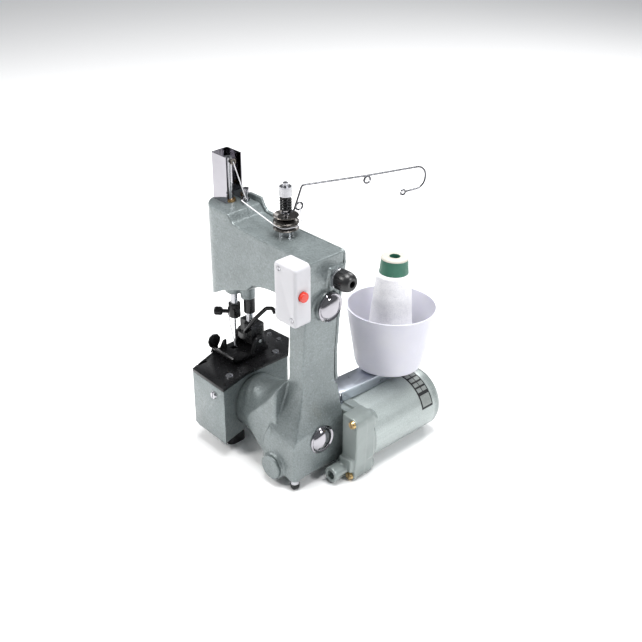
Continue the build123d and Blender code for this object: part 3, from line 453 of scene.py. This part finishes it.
def from_faces(name, points, faces):
    mesh = bpy.data.meshes.new(name)
    mesh.from_pydata([tuple(point) for point in points], [], faces)
    work = bmesh.new()
    work.from_mesh(mesh)
    bmesh.ops.recalc_face_normals(work, faces=work.faces)
    work.to_mesh(mesh)
    work.free()
    return new_object(name, mesh)


# ---------------------------------------------------------------- thread cone
STAND = Vector((-22.0, 147.0, 76.0))
LEAN_PIVOT = Vector((0.0, 110.0, 76.0))
LEAN = Matrix.Rotation(math.radians(-2.5), 3, "X")


def on_cone(radius, angle, height):
    """A point around the leaning cone's axis, height above the stand."""
    upright = STAND + Vector((radius * math.cos(angle), radius * math.sin(angle), height))
    return mm(*(LEAN @ (upright - LEAN_PIVOT) + LEAN_PIVOT))


def turned(name, profile, around, relief=None):
    """Surface turned around the cone's axis from (radius, height) pairs; relief adds to the radius."""
    points, faces = [], []
    for radius, height in profile:
        for i in range(around):
            angle = math.tau * i / around
            grown = radius + (relief(angle, height) if relief else 0.0)
            points.append(on_cone(grown, angle, height))
    for j in range(len(profile) - 1):
        for i in range(around):
            k = (i + 1) % around
            faces.append((j * around + i, j * around + k, (j + 1) * around + k, (j + 1) * around + i))
    obj = from_faces(name, points, faces)
    smooth_by_angle(obj.data, 40)
    return obj


def filled_in(profile, step):
    """More points along a profile, no further apart than step."""
    made = []
    for (r0, h0), (r1, h1) in zip(profile, profile[1:]):
        count = max(1, math.ceil(math.hypot(r1 - r0, h1 - h0) / step))
        made += [(r0 + (r1 - r0) * i / count, h0 + (h1 - h0) * i / count) for i in range(count)]
    return made + [profile[-1]]


WINDING_PITCH = 1.15
WINDING_STARTS = 4
WINDING_DEPTH = 0.16


def winding(angle, height):
    """Two crossing sets of thread turns."""
    fade = min(1.0, max(0.0, (100.0 - height) / 2), max(0.0, (height - 7.5) / 2))
    climb = math.tau * height / WINDING_PITCH
    one = 0.5 + 0.5 * math.cos(climb + WINDING_STARTS * angle)
    other = 0.5 + 0.5 * math.cos(climb * 0.93 - (WINDING_STARTS + 1) * angle)
    drift = 0.12 * math.sin(3 * angle + height * 0.16) + 0.08 * math.sin(height * 0.5 - angle)
    return fade * (WINDING_DEPTH * (max(one, other) - 0.6) + drift)


PACKAGE_PROFILE = [(21.0, 7.3), (24.2, 8.0), (23.9, 14), (18.9, 72), (16.7, 98), (15.4, 100.5), (14.2, 100.5)]
PACKAGE_STEP = 0.22
package = turned("thread_package_wound", filled_in(PACKAGE_PROFILE, PACKAGE_STEP), 200, winding)
stand_for(package, "thread_package")
TOP_PROFILE = [(5.45, 116.3), (5.45, 116.75), (11.9, 116.75), (12.7, 116.55), (13.35, 115.75),
               (13.5, 114.9), (13.1, 114.9)]
new_piece(turned("cone_top_paper", TOP_PROFILE, 96), "green_core", "thread_cone", "cream_top")
RING_PROFILE = [(5.5, 116.7), (5.6, 117.0), (6.6, 117.0), (6.7, 116.7)]
new_piece(turned("cone_hole_ring", RING_PROFILE, 64), "green_core", "thread_cone", "cream_top")


# ---------------------------------------------------------------- presser spring, a smoothed copy in place of the CAD coil
spring = copy_of("presser_spring", "presser_spring_coil")
smooth_by_angle(spring.data, 50)
paint(spring, "bright_steel")
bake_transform(spring)
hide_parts("presser_spring")


# ---------------------------------------------------------------- nameplate fields, without print
MOTOR_X, MOTOR_Z = -7.0, 32.0
FIELD_IN, FIELD_OUT = 32.35, 32.5
FIELD_STEPS = 8
FIELD_COLUMNS = ((151.3, 157.0), (158.0, 163.7))
FIELDS = [(y0, y1, low, low + 7.5) for low in (43, 54, 65, 76) for y0, y1 in FIELD_COLUMNS]
FIELDS += [(151.3, 163.7, 88, 97), (151.3, 163.7, 16, 37)]
points, faces = [], []
for y0, y1, low, high in FIELDS:
    first = len(points)
    for i in range(FIELD_STEPS + 1):
        angle = math.radians(low + (high - low) * i / FIELD_STEPS)
        for y, r in ((y0, FIELD_IN), (y0, FIELD_OUT), (y1, FIELD_OUT), (y1, FIELD_IN)):
            points.append(mm(MOTOR_X + r * math.cos(angle), y, MOTOR_Z + r * math.sin(angle)))
    for i in range(FIELD_STEPS):
        for k in range(3):
            a = first + 4 * i + k
            faces.append((a, a + 1, a + 5, a + 4))
    faces += [(first, first + 1, first + 2, first + 3), tuple(first + 4 * FIELD_STEPS + k for k in (3, 2, 1, 0))]
new_piece(from_faces("nameplate_fields", points, faces), "plate_foil", "machine", "foil_grey")


# ---------------------------------------------------------------- thread from the arm to the needle bar
def tube(name, places, radius):
    """Round strand through the places."""
    curve = bpy.data.curves.new(name, "CURVE")
    curve.dimensions = "3D"
    curve.bevel_depth = radius
    curve.bevel_resolution = 3
    spline = curve.splines.new("POLY")
    spline.points.add(len(places) - 1)
    for point, place in zip(spline.points, places):
        point.co = (*place, 1.0)
    path = new_object(name + "_path", curve)
    bpy.context.view_layer.update()
    mesh = bpy.data.meshes.new_from_object(path.evaluated_get(bpy.context.evaluated_depsgraph_get()))
    bpy.data.objects.remove(path)
    for polygon in mesh.polygons:
        polygon.use_smooth = True
    return new_object(name, mesh)


SPAN_LOW, SPAN_HIGH = mm(-123.0, 54.0, 247.0), mm(-130.0, 46.0, 284.0)
span = tube("thread_to_needle_bar", [SPAN_LOW.lerp(SPAN_HIGH, i / 30) for i in range(31)], 0.0005)
paint(span, "white_thread")
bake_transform(span)
